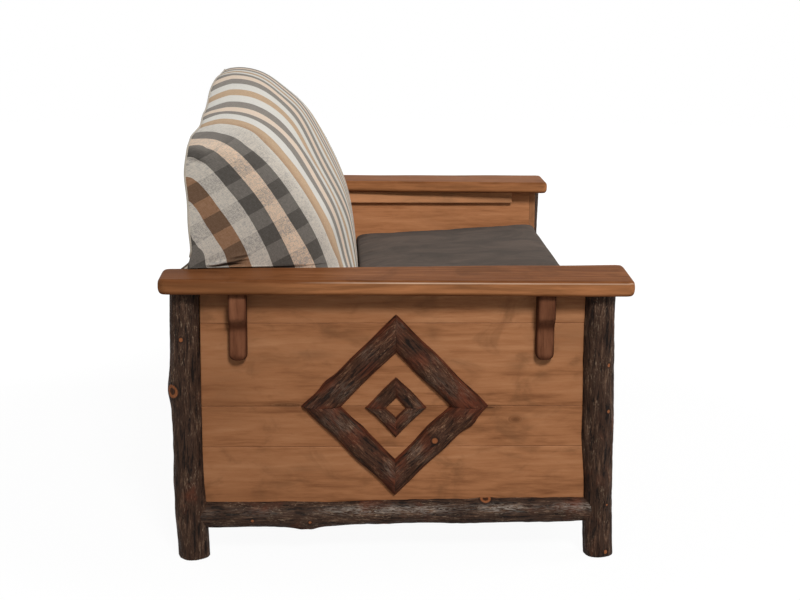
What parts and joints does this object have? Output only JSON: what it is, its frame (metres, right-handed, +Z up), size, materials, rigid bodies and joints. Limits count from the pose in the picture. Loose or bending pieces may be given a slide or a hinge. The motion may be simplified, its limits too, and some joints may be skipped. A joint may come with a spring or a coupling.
{
  "type": "log loveseat",
  "caption": "Rustic log loveseat with bark-covered posts, panelled arms with twig diamonds, loose seat cushions and a crowned plaid upholstered back.",
  "frame": {"origin": "on the floor, in the middle of the plan", "axes": "+Z up; the front faces -Y; +X towards the left hand of a person sitting in it"},
  "size_m": [1.69, 1.016, 1.019],
  "materials": {
    "bark": "rough bark",
    "panel_wood": "satin",
    "arm_wood": "satin",
    "frame_wood": "unfinished",
    "plaid": "woven plaid",
    "suede": "napped",
    "webbing": "woven",
    "dust_cloth": "matte",
    "steel": "zinc plated"
  },
  "bodies": {
    "frame": {"right_front_post": "bark", "right_rear_post": "bark", "right_side_rail": "bark", "right_armrest": "arm_wood", "right_outer_panel": "panel_wood", "right_inner_panel": "panel_wood", "right_edge_strip": "panel_wood", "right_arm_cleat": "arm_wood", "right_front_corbel": "arm_wood", "right_rear_corbel": "arm_wood", "right_outer_diamond": "bark", "right_inner_diamond": "bark", "left_front_post": "bark", "left_rear_post": "bark", "left_side_rail": "bark", "left_armrest": "arm_wood", "left_outer_panel": "panel_wood", "left_inner_panel": "panel_wood", "left_edge_strip": "panel_wood", "left_arm_cleat": "arm_wood", "left_front_corbel": "arm_wood", "left_rear_corbel": "arm_wood", "left_outer_diamond": "bark", "left_inner_diamond": "bark", "front_log_rail": "bark", "rear_log_rail": "bark", "front_apron": "panel_wood", "rear_apron": "panel_wood", "seat_back_rail": "frame_wood", "front_slat_ledger": "frame_wood", "rear_slat_ledger": "frame_wood", "rear_ledger": "frame_wood", "seat_slats": "frame_wood", "back_ribs": "frame_wood", "back_front_base_rail": "frame_wood", "back_rear_base_rail": "frame_wood", "back_top_rail": "frame_wood", "back_crest_rail": "frame_wood", "back_webbing": "webbing", "back_cushion": "plaid", "outside_back": "plaid", "dust_cover": "dust_cloth", "armrest_dowels": "frame_wood", "corbel_screws": "steel", "cleat_screws": "steel", "corner_brackets": "steel", "bracket_screws": "steel", "slat_screws": "steel", "back_screws": "steel"},
    "right_seat_cushion": {"right_seat_cushion": "suede"},
    "left_seat_cushion": {"left_seat_cushion": "suede"}
  },
  "joints": [
    {"name": "right_cushion_slide", "type": "slide", "parent": "frame", "child": "right_seat_cushion", "axis": [0, -0.9981, 0.061], "range_m": [0, 0.5]},
    {"name": "left_cushion_slide", "type": "slide", "parent": "frame", "child": "left_seat_cushion", "axis": [0, -0.9981, 0.061], "range_m": [0, 0.5]}
  ]
}
